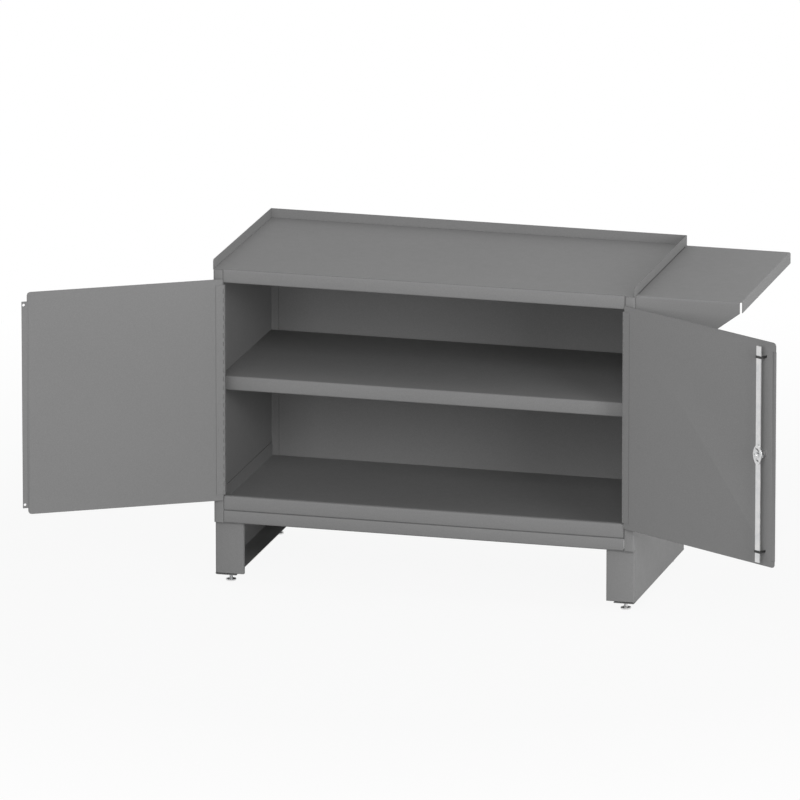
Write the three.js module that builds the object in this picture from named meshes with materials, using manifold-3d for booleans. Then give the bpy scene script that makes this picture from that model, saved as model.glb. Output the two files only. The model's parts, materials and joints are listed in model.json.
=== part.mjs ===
// Steel workbench with a lockable two-door cabinet, folded from sheet metal.
// Millimetres, +Z up. The front faces -Y and +X is to the right of someone who stands in front.
// Pieces are drawn with X from the cabinet's left side, Y from its front and Z from the underside of
// the flanges that its feet screw into. The finished group is then moved so that its origin lies on
// the floor, under the middle of its outline.

import * as THREE from 'three';
import { mergeVertices } from 'three/addons/utils/BufferGeometryUtils.js';
import Module from 'manifold-3d';

const wasm = await Module();
wasm.setup();

// Cabinet
const WIDTH = 1219.2; // over the two side panels
const DEPTH = 609.6; // front face to back face
const WORKTOP_HEIGHT = 893.7; // working surface above the base flanges
const LIP_HEIGHT = 26.6; // rim above the worktop at the sides and the back
const RIM_CORNER = 6.5; // rounded front end of the side rims
const SHEET = 2; // cabinet sheet
const BEND_RADIUS = 2.5; // inside radius of every fold
const SEAT = 0.3; // gap between pieces that are welded or bolted face to face

// Side panels and legs
const CORNER_WIDTH = 29; // front corner flange of a side panel
const JAMB_DEPTH = 22; // second fold of that flange, which the hinge is welded to
const REAR_CORNER_WIDTH = 23; // rear corner flange, in front of the back panel
const BASE_FLANGE = 61; // flange under the legs, which the feet screw into
const LEG_HEIGHT = 156; // clear height under the cabinet
const LEG_WIDTH = 83; // leg plate
const LEG_RECESS = 13; // leg plates behind the cabinet's front and back faces
const LEG_RETURN = 12; // folded edges of a leg plate

// Worktop and shelves
const WORKTOP_FLANGE = 39.5; // front flange of the worktop
const FLANGE_RETURN = 14; // fold along a flange's free edge, which the lock rods catch behind
const WORKTOP_REAR_FLANGE = 39.5;
const SHELF_HEIGHT = 565.5; // top of the middle shelf
const SHELF_FLANGE = 41.5;
const SHELF_SETBACK = 71; // shelf front behind the cabinet's front
const RAIL_HEIGHT = 36.2; // front base rail
const RAIL_RETURN = 22;
const PAN_LIP = 41.6; // upturned lip of the bottom shelf, over its underside

// Side shelf on the right
const SIDE_SHELF_LENGTH = 304;
const SIDE_SHELF_INSET = 8.7; // from the cabinet's front and back faces
const SIDE_SHELF_LIP = 32; // end lip, and the gussets where they are shallowest
const GUSSET_DEPTH = 255; // gussets where they meet the cabinet
const GUSSET_LAND = 24; // width of the gusset's fold on the shelf
const CORNER_RELIEF = 6; // open slit between the front gusset and the end lip

// Doors
const DOOR_SHEET = 2;
const DOOR_OPEN = THREE.MathUtils.degToRad(150);
const DOOR_OVERLAP = 11.8; // over the worktop's flange and over the bottom lip
const DOOR_GAP = 3; // between the closed doors
const MEETING_OFFSET = 7.75; // meeting line to the left of the cabinet's middle
const DOOR_CORNER = 12; // corner radius on the free edge
const DOOR_EDGE_CLEARANCE = 0.8; // hinge barrel to door edge
const LAP_WIDTH = 16; // left door's lap behind the right door
const LAP_TOP_INSET = 26; // end of the lap from the door's top
const LAP_BOTTOM_INSET = 19;
const LAP_CLEARANCE = 0.6; // lap to the right door's inner face
const LAP_HOLE = 8;
const LAP_HOLE_INSET = 10;
const EDGE_STRIP = 14; // right door's edge, pressed outwards
const EDGE_STEP = 1;
const JOGGLE = 4; // run of a pressed step in a door

// Piano hinges
const KNUCKLE_PITCH = 25.4; // one knuckle of each leaf
const KNUCKLE_RADIUS = 2.5;
const KNUCKLE_GAP = 0.4; // between neighbouring knuckles
const KNUCKLE_SIDES = 10;
const LEAF_SHEET = 1.2;
const LEAF_WIDTH = 24; // axis to the free edge of a leaf
const LEAF_CLEARANCE = 0.5; // leaf to the other leaf's knuckles
const HINGE_MARGIN = 4; // least distance from a hinge end to the flange or lip
const BARREL_STANDOFF = 1.8; // hinge axis in front of the cabinet's face
const PIN_RADIUS = 1.2;
const PIN_CLEARANCE = 0.3;
const PIN_SIDES = 8;

// Lock on the right door
const LOCK_BACKSET = 45; // from the free edge of the door
const LOCK_TURN = Math.PI / 2;
const ROD_WIDTH = 17.5;
const ROD_THICKNESS = 3;
const ROD_STANDOFF = 18.5; // door's inner face to the near side of the rods
const ROD_CLEARANCE = 0.8; // drawn-in rod to the flange or lip
const ROD_TAIL_GAP = 1.5; // rod's shoulder to the tip of the other rod's tail
const DRIVE_PIN_RADIUS = 1.8;
const DRIVE_PIN_REACH = 18; // drive pin from the spindle, rods drawn in
const DRIVE_PIN_EDGE = 4; // drive pin to the end of its rod
const SLOT_CLEARANCE = 0.3;
const CAM_HALF_WIDTH = 16;
const CAM_HALF_HEIGHT = 29;
const CAM_ROUNDNESS = 1.7; // 1 is a diamond, 2 is an ellipse
const CAM_THICKNESS = 3;
const CAM_CLEARANCE = 0.4; // rods to cam
const SPINDLE_RADIUS = 4.4;
const SPINDLE_CLEARANCE = 0.4;
const BOSS_RADIUS = 11;
const BOSS_HEIGHT = 9;
const NUT_RADIUS = 8; // over the corners
const NUT_HEIGHT = 6;
const GUIDE_INSET = 43.5; // middle of a rod guide from the door's top or bottom
const GUIDE_SHEET = 2;
const GUIDE_WIDTH = 9.5;
const GUIDE_CLEARANCE = 0.4; // rod to the guide's bar
const GUIDE_SIDE_CLEARANCE = 0.8; // rod to the guide's legs
const GUIDE_BEND = 0.8; // inside radius
const HUB_RADIUS = 11;
const HANDLE_STANDOFF = 32; // door's outer face to the lever
const HANDLE_LENGTH = 112; // spindle to the tip
const HANDLE_WIDTH = 20;
const HANDLE_TIP_WIDTH = 14;
const HANDLE_THICKNESS = 9;
const HANDLE_ROUNDING = 1.5;

// Levelling feet
const FOOT_SIDE_INSET = 35; // stem from the cabinet's side
const FOOT_END_INSET = 52; // stem from the cabinet's front or back
const FOOT_DROP = 25; // base flanges above the floor
const FOOT_RADIUS = 15;
const FOOT_THICKNESS = 7;
const FOOT_CHAMFER = 1.5;
const STEM_RADIUS = 5;
const STEM_LENGTH = 52;
const STEM_CLEARANCE = 0.4;
const FOOT_NUT_RADIUS = 10;
const FOOT_NUT_HEIGHT = 8;

// Levels and lines that several pieces share
const OUTER_BEND = BEND_RADIUS + SHEET;
const rimTop = WORKTOP_HEIGHT + LIP_HEIGHT;
const worktopUnderside = WORKTOP_HEIGHT - SHEET;
const flangeBottom = WORKTOP_HEIGHT - WORKTOP_FLANGE;
const cornerTop = worktopUnderside - SEAT;
const panBottom = LEG_HEIGHT + RAIL_HEIGHT + SEAT;
const lipTop = panBottom + PAN_LIP;
const backFace = DEPTH - SHEET;
const rearFlangeBack = backFace - SEAT;
const rearFlangeFront = rearFlangeBack - SHEET;
const legEdge = LEG_RECESS + OUTER_BEND; // where a leg plate's bend runs into the side panel
const shelfBack = rearFlangeFront - BEND_RADIUS; // clear of the bend in the rear corners
const insideLeft = SHEET + SEAT;
const insideRight = WIDTH - insideLeft;
const betweenCornersLeft = CORNER_WIDTH + SEAT;
const betweenCornersRight = WIDTH - betweenCornersLeft;

const hingeX = CORNER_WIDTH + SEAT + KNUCKLE_RADIUS;
const hingeY = -BARREL_STANDOFF;
const leafFront = hingeY + KNUCKLE_RADIUS - LEAF_SHEET;
const doorInner = leafFront - SEAT;
const doorOuter = doorInner - DOOR_SHEET;
const doorTop = flangeBottom + DOOR_OVERLAP;
const doorBottom = lipTop - DOOR_OVERLAP;
const lapTop = doorTop - LAP_TOP_INSET;
const lapBottom = doorBottom + LAP_BOTTOM_INSET;
const doorEdge = hingeX + KNUCKLE_RADIUS + DOOR_EDGE_CLEARANCE;
const meetingX = WIDTH / 2 - MEETING_OFFSET;
const knucklePairs = Math.floor((flangeBottom - lipTop - 2 * HINGE_MARGIN) / KNUCKLE_PITCH);
const hingeLength = knucklePairs * KNUCKLE_PITCH;
const hingeBottom = (flangeBottom + lipTop - hingeLength) / 2;

const lockX = meetingX + DOOR_GAP / 2 + LOCK_BACKSET;
const lockZ = (doorTop + doorBottom) / 2;
const rodFront = doorInner + ROD_STANDOFF;
const rodBack = rodFront + ROD_THICKNESS;
const rodStroke = DOOR_OVERLAP + ROD_CLEARANCE;
const camFront = rodBack + CAM_CLEARANCE;
const camBack = camFront + CAM_THICKNESS;
const tailInside = SPINDLE_RADIUS + SPINDLE_CLEARANCE;
const drivePinX = (tailInside + ROD_WIDTH / 2) / 2;

// Finishes
const finish = (color, roughness, metalness) => () => new THREE.MeshStandardMaterial({
  color,
  roughness,
  metalness,
});
const paint = finish(0x84878a, 0.55, 0.2);
const zinc = finish(0xc9ccd0, 0.35, 0.9);
const chrome = finish(0xe2e4e6, 0.15, 1);
const blackStrap = finish(0x1b1c1e, 0.5, 0.3);

// Boolean work on closed geometries
function toSolid(geometry) {
  const bare = geometry.clone();
  bare.deleteAttribute('normal');
  bare.deleteAttribute('uv');
  const merged = mergeVertices(bare, 1e-4);
  const mesh = new wasm.Mesh({
    numProp: 3,
    vertProperties: new Float32Array(merged.attributes.position.array),
    triVerts: new Uint32Array(merged.index.array),
  });
  return new wasm.Manifold(mesh);
}

function fromSolid(solid) {
  const mesh = solid.getMesh();
  const geometry = new THREE.BufferGeometry();
  geometry.setAttribute('position', new THREE.BufferAttribute(new Float32Array(mesh.vertProperties), 3));
  geometry.setIndex(new THREE.BufferAttribute(new Uint32Array(mesh.triVerts), 1));
  return geometry;
}

function unite(...geometries) {
  return fromSolid(geometries.map(toSolid).reduce((sum, next) => sum.add(next)));
}

function cut(geometry, ...tools) {
  return fromSolid(tools.map(toSolid).reduce((rest, tool) => rest.subtract(tool), toSolid(geometry)));
}

function common(a, b) {
  return fromSolid(toSolid(a).intersect(toSolid(b)));
}

// Copy of a left-hand piece for the right-hand side of the cabinet
function mirrored(geometry) {
  const copy = geometry.index ? geometry.clone() : mergeVertices(geometry);
  const position = copy.attributes.position;
  for (let i = 0; i < position.count; i += 1) {
    position.setX(i, WIDTH - position.getX(i));
  }
  const index = copy.index;
  for (let i = 0; i < index.count; i += 3) {
    const swapped = index.getX(i + 1);
    index.setX(i + 1, index.getX(i + 2));
    index.setX(i + 2, swapped);
  }
  return copy;
}

// Prisms along each axis. The outline is drawn in the other two axes, in alphabetical order, and the
// ends lie exactly where they are asked for, so that neighbouring faces can be flush.
function prism(shape, start, end, place) {
  const geometry = new THREE.ExtrudeGeometry(shape, { depth: 1, bevelEnabled: false, curveSegments: 6 });
  const position = geometry.attributes.position;
  for (let i = 0; i < position.count; i += 1) {
    const along = position.getZ(i) < 0.5 ? start : end;
    position.setXYZ(i, ...place(position.getX(i), position.getY(i), along));
  }
  return geometry;
}

function prismX(shape, from, to) {
  return prism(shape, from, to, (y, z, x) => [x, y, z]);
}

function prismY(shape, from, to) {
  return prism(shape, to, from, (x, z, y) => [x, y, z]);
}

function prismZ(shape, from, to) {
  return prism(shape, from, to, (x, y, z) => [x, y, z]);
}

function rectangle(left, bottom, right, top) {
  const shape = new THREE.Shape();
  shape.moveTo(left, bottom);
  shape.lineTo(right, bottom);
  shape.lineTo(right, top);
  shape.lineTo(left, top);
  shape.closePath();
  return shape;
}

function polygon(points) {
  return new THREE.Shape(points.map(([u, v]) => new THREE.Vector2(u, v)));
}

function ring(radius, sides, u = 0, v = 0, phase = 0) {
  const points = [];
  for (let i = 0; i < sides; i += 1) {
    const angle = phase + (2 * Math.PI * i) / sides;
    points.push(new THREE.Vector2(u + radius * Math.cos(angle), v + radius * Math.sin(angle)));
  }
  return points;
}

// Bore whose flats stay clear of a round of the given radius
function bore(radius, sides, u, v) {
  return new THREE.Path(ring(radius / Math.cos(Math.PI / sides), sides, u, v));
}

// Section of a folded sheet: the corners give the middle of the sheet, and each one becomes a bend.
function foldedSection(corners, thickness, insideRadius = BEND_RADIUS, steps = 3) {
  const path = corners.map(([u, v]) => new THREE.Vector2(u, v));
  const middleRadius = insideRadius + thickness / 2;
  const left = [];
  const right = [];
  const push = (point, direction) => {
    const normal = new THREE.Vector2(-direction.y, direction.x).multiplyScalar(thickness / 2);
    left.push(point.clone().add(normal));
    right.push(point.clone().sub(normal));
  };
  path.forEach((corner, i) => {
    const before = i > 0 ? corner.clone().sub(path[i - 1]).normalize() : null;
    const after = i < path.length - 1 ? path[i + 1].clone().sub(corner).normalize() : null;
    if (!before || !after) {
      push(corner, before ?? after);
      return;
    }
    const turn = Math.atan2(before.cross(after), before.dot(after));
    const start = corner.clone().addScaledVector(before, -middleRadius * Math.tan(Math.abs(turn) / 2));
    const towardsCentre = new THREE.Vector2(-before.y, before.x).multiplyScalar(Math.sign(turn));
    const centre = start.clone().addScaledVector(towardsCentre, middleRadius);
    for (let step = 0; step <= steps; step += 1) {
      const part = (turn * step) / steps;
      const point = start.clone().rotateAround(centre, part);
      push(point, before.clone().rotateAround(new THREE.Vector2(), part));
    }
  });
  return new THREE.Shape([...left, ...right.reverse()]);
}

const half = SHEET / 2;

// Side panel: one sheet with a front corner and jamb, a rear corner, a rim and a flange under the legs
function sidePanel() {
  const corner = foldedSection([
    [CORNER_WIDTH - half, JAMB_DEPTH],
    [CORNER_WIDTH - half, half],
    [half, half],
    [half, rearFlangeBack - half],
    [REAR_CORNER_WIDTH, rearFlangeBack - half],
  ], SHEET);
  const corners = prismZ(corner, LEG_HEIGHT, cornerTop);
  const edge = new THREE.Shape();
  edge.moveTo(0, cornerTop);
  edge.lineTo(rearFlangeBack, cornerTop);
  edge.lineTo(rearFlangeBack, rimTop);
  edge.lineTo(RIM_CORNER, rimTop);
  edge.absarc(RIM_CORNER, rimTop - RIM_CORNER, RIM_CORNER, Math.PI / 2, Math.PI, false);
  edge.closePath();
  const rim = prismX(edge, 0, SHEET);
  const between = rectangle(0, legEdge + SEAT, SHEET, DEPTH - legEdge - SEAT);
  const wall = prismZ(between, OUTER_BEND, WORKTOP_HEIGHT);
  const foot = foldedSection([[half, OUTER_BEND], [half, half], [BASE_FLANGE, half]], SHEET);
  const flange = prismY(foot, LEG_RECESS, DEPTH - LEG_RECESS);
  const holes = [FOOT_END_INSET, DEPTH - FOOT_END_INSET].map((y) => {
    const outline = new THREE.Shape(ring(STEM_RADIUS + STEM_CLEARANCE, 12, FOOT_SIDE_INSET, y));
    return prismZ(outline, -SHEET, 2 * SHEET);
  });
  return cut(unite(corners, rim, wall, flange), ...holes);
}

// Worktop: front and rear flanges fit between the corners, and the sheet runs on over them
function worktop() {
  const section = foldedSection([
    [FLANGE_RETURN, flangeBottom + half],
    [half, flangeBottom + half],
    [half, WORKTOP_HEIGHT - half],
    [rearFlangeBack - half, WORKTOP_HEIGHT - half],
    [rearFlangeBack - half, WORKTOP_HEIGHT - WORKTOP_REAR_FLANGE],
  ], SHEET);
  const middle = prismX(section, betweenCornersLeft, betweenCornersRight);
  const sheet = rectangle(BEND_RADIUS, worktopUnderside, rearFlangeBack - BEND_RADIUS, WORKTOP_HEIGHT);
  const edge = rectangle(0, worktopUnderside, rearFlangeBack, WORKTOP_HEIGHT);
  const ends = [
    prismX(edge, insideLeft, betweenCornersLeft),
    prismX(edge, betweenCornersRight, insideRight),
  ];
  return unite(middle, prismX(sheet, insideLeft, insideRight), ...ends);
}

function backPanel() {
  return prismY(rectangle(0, LEG_HEIGHT, WIDTH, rimTop), backFace, DEPTH);
}

function middleShelf() {
  const front = SHELF_SETBACK + half;
  const back = shelfBack - half;
  const top = SHELF_HEIGHT - half;
  const bottom = SHELF_HEIGHT - SHELF_FLANGE + half;
  const section = foldedSection([
    [SHELF_SETBACK + FLANGE_RETURN, bottom],
    [front, bottom],
    [front, top],
    [back, top],
    [back, bottom],
  ], SHEET);
  return prismX(section, insideLeft, insideRight);
}

// Bottom shelf: a pan whose front lip stands between the corners, with low lips along the sides
function bottomShelf() {
  const floor = panBottom + half;
  const front = foldedSection([
    [FLANGE_RETURN, lipTop - half],
    [half, lipTop - half],
    [half, floor],
    [shelfBack, floor],
  ], SHEET);
  const side = foldedSection([
    [insideLeft + half, lipTop],
    [insideLeft + half, floor],
    [WIDTH / 2, floor],
  ], SHEET);
  const left = prismY(side, JAMB_DEPTH + SEAT, shelfBack);
  return unite(prismX(front, betweenCornersLeft, betweenCornersRight), left, mirrored(left));
}

function baseRail() {
  const top = LEG_HEIGHT + RAIL_HEIGHT - half;
  const bottom = LEG_HEIGHT + half;
  const section = foldedSection([
    [RAIL_RETURN, top],
    [half, top],
    [half, bottom],
    [RAIL_RETURN, bottom],
  ], SHEET);
  return prismX(section, betweenCornersLeft, betweenCornersRight);
}

// Leg plate of the left side: its outer bend meets the side panel edge to edge. The rear one faces back.
function legPlate(isFront) {
  const at = (depth) => (isFront ? LEG_RECESS + depth : DEPTH - LEG_RECESS - depth);
  const innerX = LEG_WIDTH - half;
  const section = foldedSection([
    [half, at(OUTER_BEND)],
    [half, at(half)],
    [innerX, at(half)],
    [innerX, at(LEG_RETURN)],
  ], SHEET);
  return prismZ(section, OUTER_BEND + SEAT, LEG_HEIGHT - SEAT);
}

// Side shelf: end lip and mounting flange on the short sides, tapered gussets on the long ones
function sideShelf() {
  const inner = WIDTH + SEAT;
  const outer = WIDTH + SIDE_SHELF_LENGTH;
  const top = WORKTOP_HEIGHT - half;
  const front = SIDE_SHELF_INSET;
  const back = DEPTH - SIDE_SHELF_INSET;
  const lipBottom = WORKTOP_HEIGHT - SIDE_SHELF_LIP;
  const gussetEnd = outer - CORNER_RELIEF;
  const lengthwise = foldedSection([
    [inner + half, lipBottom],
    [inner + half, top],
    [outer - half, top],
    [outer - half, lipBottom],
  ], SHEET);
  const tray = prismY(lengthwise, front + OUTER_BEND + CORNER_RELIEF, back - OUTER_BEND);
  const gussetBottom = WORKTOP_HEIGHT - GUSSET_DEPTH;
  const across = (face, land) => foldedSection([[face, gussetBottom], [face, top], [land, top]], SHEET);
  const outline = polygon([
    [inner, gussetBottom],
    [inner, WORKTOP_HEIGHT],
    [gussetEnd, WORKTOP_HEIGHT],
    [gussetEnd, lipBottom],
  ]);
  const trim = prismY(outline, 0, DEPTH);
  const gussets = [
    across(front + half, front + GUSSET_LAND),
    across(back - half, back - GUSSET_LAND),
  ].map((section) => common(prismX(section, inner, gussetEnd), trim));
  return unite(tray, ...gussets);
}

// Door blank in the closed position, with the corners of its free edge rounded
function doorBlank(hingeSide, freeSide) {
  const sign = Math.sign(freeSide - hingeSide);
  const shape = new THREE.Shape();
  shape.moveTo(hingeSide, doorBottom);
  shape.lineTo(freeSide - sign * DOOR_CORNER, doorBottom);
  shape.quadraticCurveTo(freeSide, doorBottom, freeSide, doorBottom + DOOR_CORNER);
  shape.lineTo(freeSide, doorTop - DOOR_CORNER);
  shape.quadraticCurveTo(freeSide, doorTop, freeSide - sign * DOOR_CORNER, doorTop);
  shape.lineTo(hingeSide, doorTop);
  shape.closePath();
  return prismY(shape, doorOuter, doorInner);
}

// Sheet that steps from the door's plane into another one, for part of the door's height
function pressedStep(start, stepEnd, end, offset) {
  const section = polygon([
    [start, doorOuter],
    [stepEnd, doorOuter + offset],
    [end, doorOuter + offset],
    [end, doorInner + offset],
    [stepEnd, doorInner + offset],
    [start, doorInner],
  ]);
  return prismZ(section, lapBottom, lapTop);
}

// Left door: its free edge steps inwards, to lap behind the right door
function leftDoor() {
  const edge = meetingX - DOOR_GAP / 2;
  const blank = doorBlank(doorEdge, edge);
  const offset = DOOR_SHEET + LAP_CLEARANCE;
  const lapEnd = edge + LAP_WIDTH;
  const clearing = rectangle(edge - JOGGLE, lapBottom, edge + JOGGLE, lapTop);
  const trimmed = cut(blank, prismY(clearing, doorOuter - DOOR_SHEET, doorInner + DOOR_SHEET));
  const holeX = lapEnd - LAP_WIDTH / 2 + JOGGLE / 2;
  const holes = [lapBottom + LAP_HOLE_INSET, lapTop - LAP_HOLE_INSET].map((z) => {
    const hole = new THREE.Shape(ring(LAP_HOLE / 2, 12, holeX, z));
    return prismY(hole, doorOuter, doorInner + 2 * offset);
  });
  return cut(unite(trimmed, pressedStep(edge - JOGGLE, edge, lapEnd, offset)), ...holes);
}

// Right door: its free edge is pressed outwards over the lap, and the lock goes through it
function rightDoor() {
  const edge = meetingX + DOOR_GAP / 2;
  const blank = doorBlank(WIDTH - doorEdge, edge);
  const start = edge + EDGE_STRIP;
  const clearing = rectangle(edge - JOGGLE, lapBottom, start, lapTop);
  const trimmed = cut(blank, prismY(clearing, doorOuter - DOOR_SHEET, doorInner + DOOR_SHEET));
  const hole = new THREE.Shape(ring(SPINDLE_RADIUS + SPINDLE_CLEARANCE, 12, lockX, lockZ));
  const strip = pressedStep(start, start - JOGGLE, edge, -EDGE_STEP);
  return cut(unite(trimmed, strip), prismY(hole, doorOuter - DOOR_SHEET, doorInner + DOOR_SHEET));
}

// Hinge leaf of the left side, closed: a strip whose knuckles wrap the pin at every other place.
// The strip runs from the barrel along `along`, flush with the barrel on the side of `flush`.
function hingeLeaf(along, flush, firstKnuckle) {
  const at = (run, rise) => [
    hingeX + along[0] * run + flush[0] * rise,
    hingeY + along[1] * run + flush[1] * rise,
  ];
  const strip = (from, to) => polygon([
    at(from, KNUCKLE_RADIUS - LEAF_SHEET),
    at(to, KNUCKLE_RADIUS - LEAF_SHEET),
    at(to, KNUCKLE_RADIUS),
    at(from, KNUCKLE_RADIUS),
  ]);
  const clear = KNUCKLE_RADIUS + LEAF_CLEARANCE;
  const pieces = [prismZ(strip(clear, LEAF_WIDTH), hingeBottom, hingeBottom + hingeLength)];
  const phase = Math.PI / KNUCKLE_SIDES;
  const barrelRadius = KNUCKLE_RADIUS / Math.cos(phase);
  for (let i = firstKnuckle; i < 2 * knucklePairs; i += 2) {
    const bottom = hingeBottom + (i * KNUCKLE_PITCH) / 2 + KNUCKLE_GAP / 2;
    const top = bottom + KNUCKLE_PITCH / 2 - KNUCKLE_GAP;
    const barrel = new THREE.Shape(ring(barrelRadius, KNUCKLE_SIDES, hingeX, hingeY, phase));
    pieces.push(prismZ(barrel, bottom, top));
    pieces.push(prismZ(strip(0, clear + LEAF_SHEET), bottom, top));
  }
  const eye = new THREE.Shape(bore(PIN_RADIUS + PIN_CLEARANCE, PIN_SIDES, hingeX, hingeY).getPoints());
  const reamer = prismZ(eye, hingeBottom - KNUCKLE_PITCH, hingeBottom + hingeLength + KNUCKLE_PITCH);
  return cut(unite(...pieces), reamer);
}

function hingePin() {
  const outline = new THREE.Shape(ring(PIN_RADIUS, PIN_SIDES, hingeX, hingeY));
  return prismZ(outline, hingeBottom, hingeBottom + hingeLength);
}

// Place of a drive pin, from the spindle, when the lock has gone through a share of its turn
function drivePinAt(share) {
  return new THREE.Vector2(-drivePinX, -DRIVE_PIN_REACH + rodStroke * share);
}

// Upper rod: its tail passes the spindle on one side and carries the drive pin below it
function upperRod() {
  const tailEnd = -DRIVE_PIN_REACH - DRIVE_PIN_EDGE;
  const shoulder = -tailEnd + ROD_TAIL_GAP;
  const tip = flangeBottom - ROD_CLEARANCE - lockZ;
  const outline = polygon([
    [-ROD_WIDTH / 2, tailEnd],
    [-tailInside, tailEnd],
    [-tailInside, shoulder],
    [ROD_WIDTH / 2, shoulder],
    [ROD_WIDTH / 2, tip],
    [-ROD_WIDTH / 2, tip],
  ]);
  const rest = drivePinAt(0);
  const pin = new THREE.Shape(ring(DRIVE_PIN_RADIUS, 12, rest.x, rest.y));
  return unite(prismY(outline, rodFront, rodBack), prismY(pin, (rodFront + rodBack) / 2, camBack));
}

// Slot that a drive pin runs in: its straight travel, seen from the turning cam
function camSlot(turned) {
  const samples = 8;
  const centreLine = [];
  for (let i = 0; i <= samples; i += 1) {
    const share = i / samples;
    centreLine.push(drivePinAt(share).rotateAround(new THREE.Vector2(), LOCK_TURN * share + turned));
  }
  const width = DRIVE_PIN_RADIUS + SLOT_CLEARANCE;
  const round = (centre, from) => {
    const cap = [];
    for (let i = 0; i <= 6; i += 1) {
      const angle = from - (Math.PI * i) / 6;
      cap.push(new THREE.Vector2(centre.x + width * Math.cos(angle), centre.y + width * Math.sin(angle)));
    }
    return cap;
  };
  const heading = (i) => {
    const ahead = centreLine[Math.min(i + 1, samples)];
    const behind = centreLine[Math.max(i - 1, 0)];
    return ahead.clone().sub(behind).angle();
  };
  const side = (sign) => centreLine.slice(1, -1).map((point, i) => {
    const angle = heading(i + 1) + (sign * Math.PI) / 2;
    return new THREE.Vector2(point.x + width * Math.cos(angle), point.y + width * Math.sin(angle));
  });
  return [
    ...side(1),
    ...round(centreLine[samples], heading(samples) + Math.PI / 2),
    ...side(-1).reverse(),
    ...round(centreLine[0], heading(0) - Math.PI / 2),
  ];
}

// Cam plate: a rounded diamond with a slot for each rod's drive pin
function lockCam() {
  const outline = [];
  const sides = 32;
  const power = 2 / CAM_ROUNDNESS;
  for (let i = 0; i < sides; i += 1) {
    const angle = (2 * Math.PI * i) / sides;
    const u = Math.sign(Math.cos(angle)) * Math.abs(Math.cos(angle)) ** power;
    const v = Math.sign(Math.sin(angle)) * Math.abs(Math.sin(angle)) ** power;
    outline.push(new THREE.Vector2(CAM_HALF_WIDTH * u, CAM_HALF_HEIGHT * v));
  }
  const shape = new THREE.Shape(outline);
  shape.holes.push(new THREE.Path(camSlot(0)), new THREE.Path(camSlot(Math.PI)));
  shape.holes.push(bore(SPINDLE_RADIUS + SEAT, 12, 0, 0));
  return prismY(shape, camFront, camBack);
}

function camNut() {
  const shape = new THREE.Shape(ring(NUT_RADIUS, 6));
  shape.holes.push(bore(SPINDLE_RADIUS + SEAT, 12, 0, 0));
  return prismY(shape, camBack + SEAT, camBack + SEAT + NUT_HEIGHT);
}

// Boss around the spindle on the door's inner face
function lockBoss() {
  const shape = new THREE.Shape(ring(BOSS_RADIUS, 20));
  shape.holes.push(bore(SPINDLE_RADIUS + SPINDLE_CLEARANCE, 12, 0, 0));
  return prismY(shape, doorInner + SEAT, doorInner + SEAT + BOSS_HEIGHT);
}

// Handle: a tapered lever and its hub outside the door, with the spindle that turns the cam
function lockHandle() {
  const leverInner = doorOuter - EDGE_STEP - HANDLE_STANDOFF;
  const wide = HANDLE_WIDTH / 2 - HANDLE_ROUNDING;
  const narrow = HANDLE_TIP_WIDTH / 2 - HANDLE_ROUNDING;
  const shape = new THREE.Shape();
  shape.moveTo(wide, 0);
  shape.absarc(0, 0, wide, 0, Math.PI, false);
  shape.lineTo(-narrow, -HANDLE_LENGTH + HANDLE_TIP_WIDTH / 2);
  shape.absarc(0, -HANDLE_LENGTH + HANDLE_TIP_WIDTH / 2, narrow, Math.PI, 2 * Math.PI, false);
  shape.closePath();
  const lever = new THREE.ExtrudeGeometry(shape, {
    depth: HANDLE_THICKNESS - 2 * HANDLE_ROUNDING,
    bevelSize: HANDLE_ROUNDING,
    bevelThickness: HANDLE_ROUNDING,
    bevelSegments: 2,
    curveSegments: 8,
  });
  lever.rotateX(Math.PI / 2).translate(0, leverInner - HANDLE_ROUNDING, 0);
  const neck = HUB_RADIUS - HANDLE_ROUNDING;
  const faceGap = doorOuter - SEAT;
  const hub = new THREE.LatheGeometry([
    new THREE.Vector2(0, leverInner - HANDLE_ROUNDING),
    new THREE.Vector2(neck, leverInner - HANDLE_ROUNDING),
    new THREE.Vector2(neck, faceGap - 2 * HANDLE_ROUNDING),
    new THREE.Vector2(HUB_RADIUS, faceGap - HANDLE_ROUNDING),
    new THREE.Vector2(HUB_RADIUS, faceGap),
    new THREE.Vector2(0, faceGap),
  ], 16);
  const spindleEnd = camBack + 2 * SEAT + NUT_HEIGHT;
  const spindle = prismY(new THREE.Shape(ring(SPINDLE_RADIUS, 12)), leverInner, spindleEnd);
  return unite(lever, hub, spindle);
}

// Rod guide: a strap bent over the rod, its legs welded to the door
function rodGuide() {
  const reach = ROD_WIDTH / 2 + GUIDE_SIDE_CLEARANCE + GUIDE_SHEET / 2;
  const foot = doorInner + SEAT;
  const bar = rodBack + GUIDE_CLEARANCE + GUIDE_SHEET / 2;
  const section = foldedSection([
    [-reach, foot],
    [-reach, bar],
    [reach, bar],
    [reach, foot],
  ], GUIDE_SHEET, GUIDE_BEND);
  return prismZ(section, -GUIDE_WIDTH / 2, GUIDE_WIDTH / 2);
}

function levellingFoot() {
  const profile = [
    [0, 0],
    [FOOT_RADIUS - FOOT_CHAMFER, 0],
    [FOOT_RADIUS, FOOT_CHAMFER],
    [FOOT_RADIUS, FOOT_THICKNESS - FOOT_CHAMFER],
    [STEM_RADIUS + FOOT_CHAMFER, FOOT_THICKNESS],
    [STEM_RADIUS, FOOT_THICKNESS + FOOT_CHAMFER],
    [STEM_RADIUS, STEM_LENGTH - FOOT_CHAMFER],
    [STEM_RADIUS - FOOT_CHAMFER, STEM_LENGTH],
    [0, STEM_LENGTH],
  ].map(([radius, height]) => new THREE.Vector2(radius, height));
  return new THREE.LatheGeometry(profile, 16).rotateX(Math.PI / 2).translate(0, 0, -FOOT_DROP);
}

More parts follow.
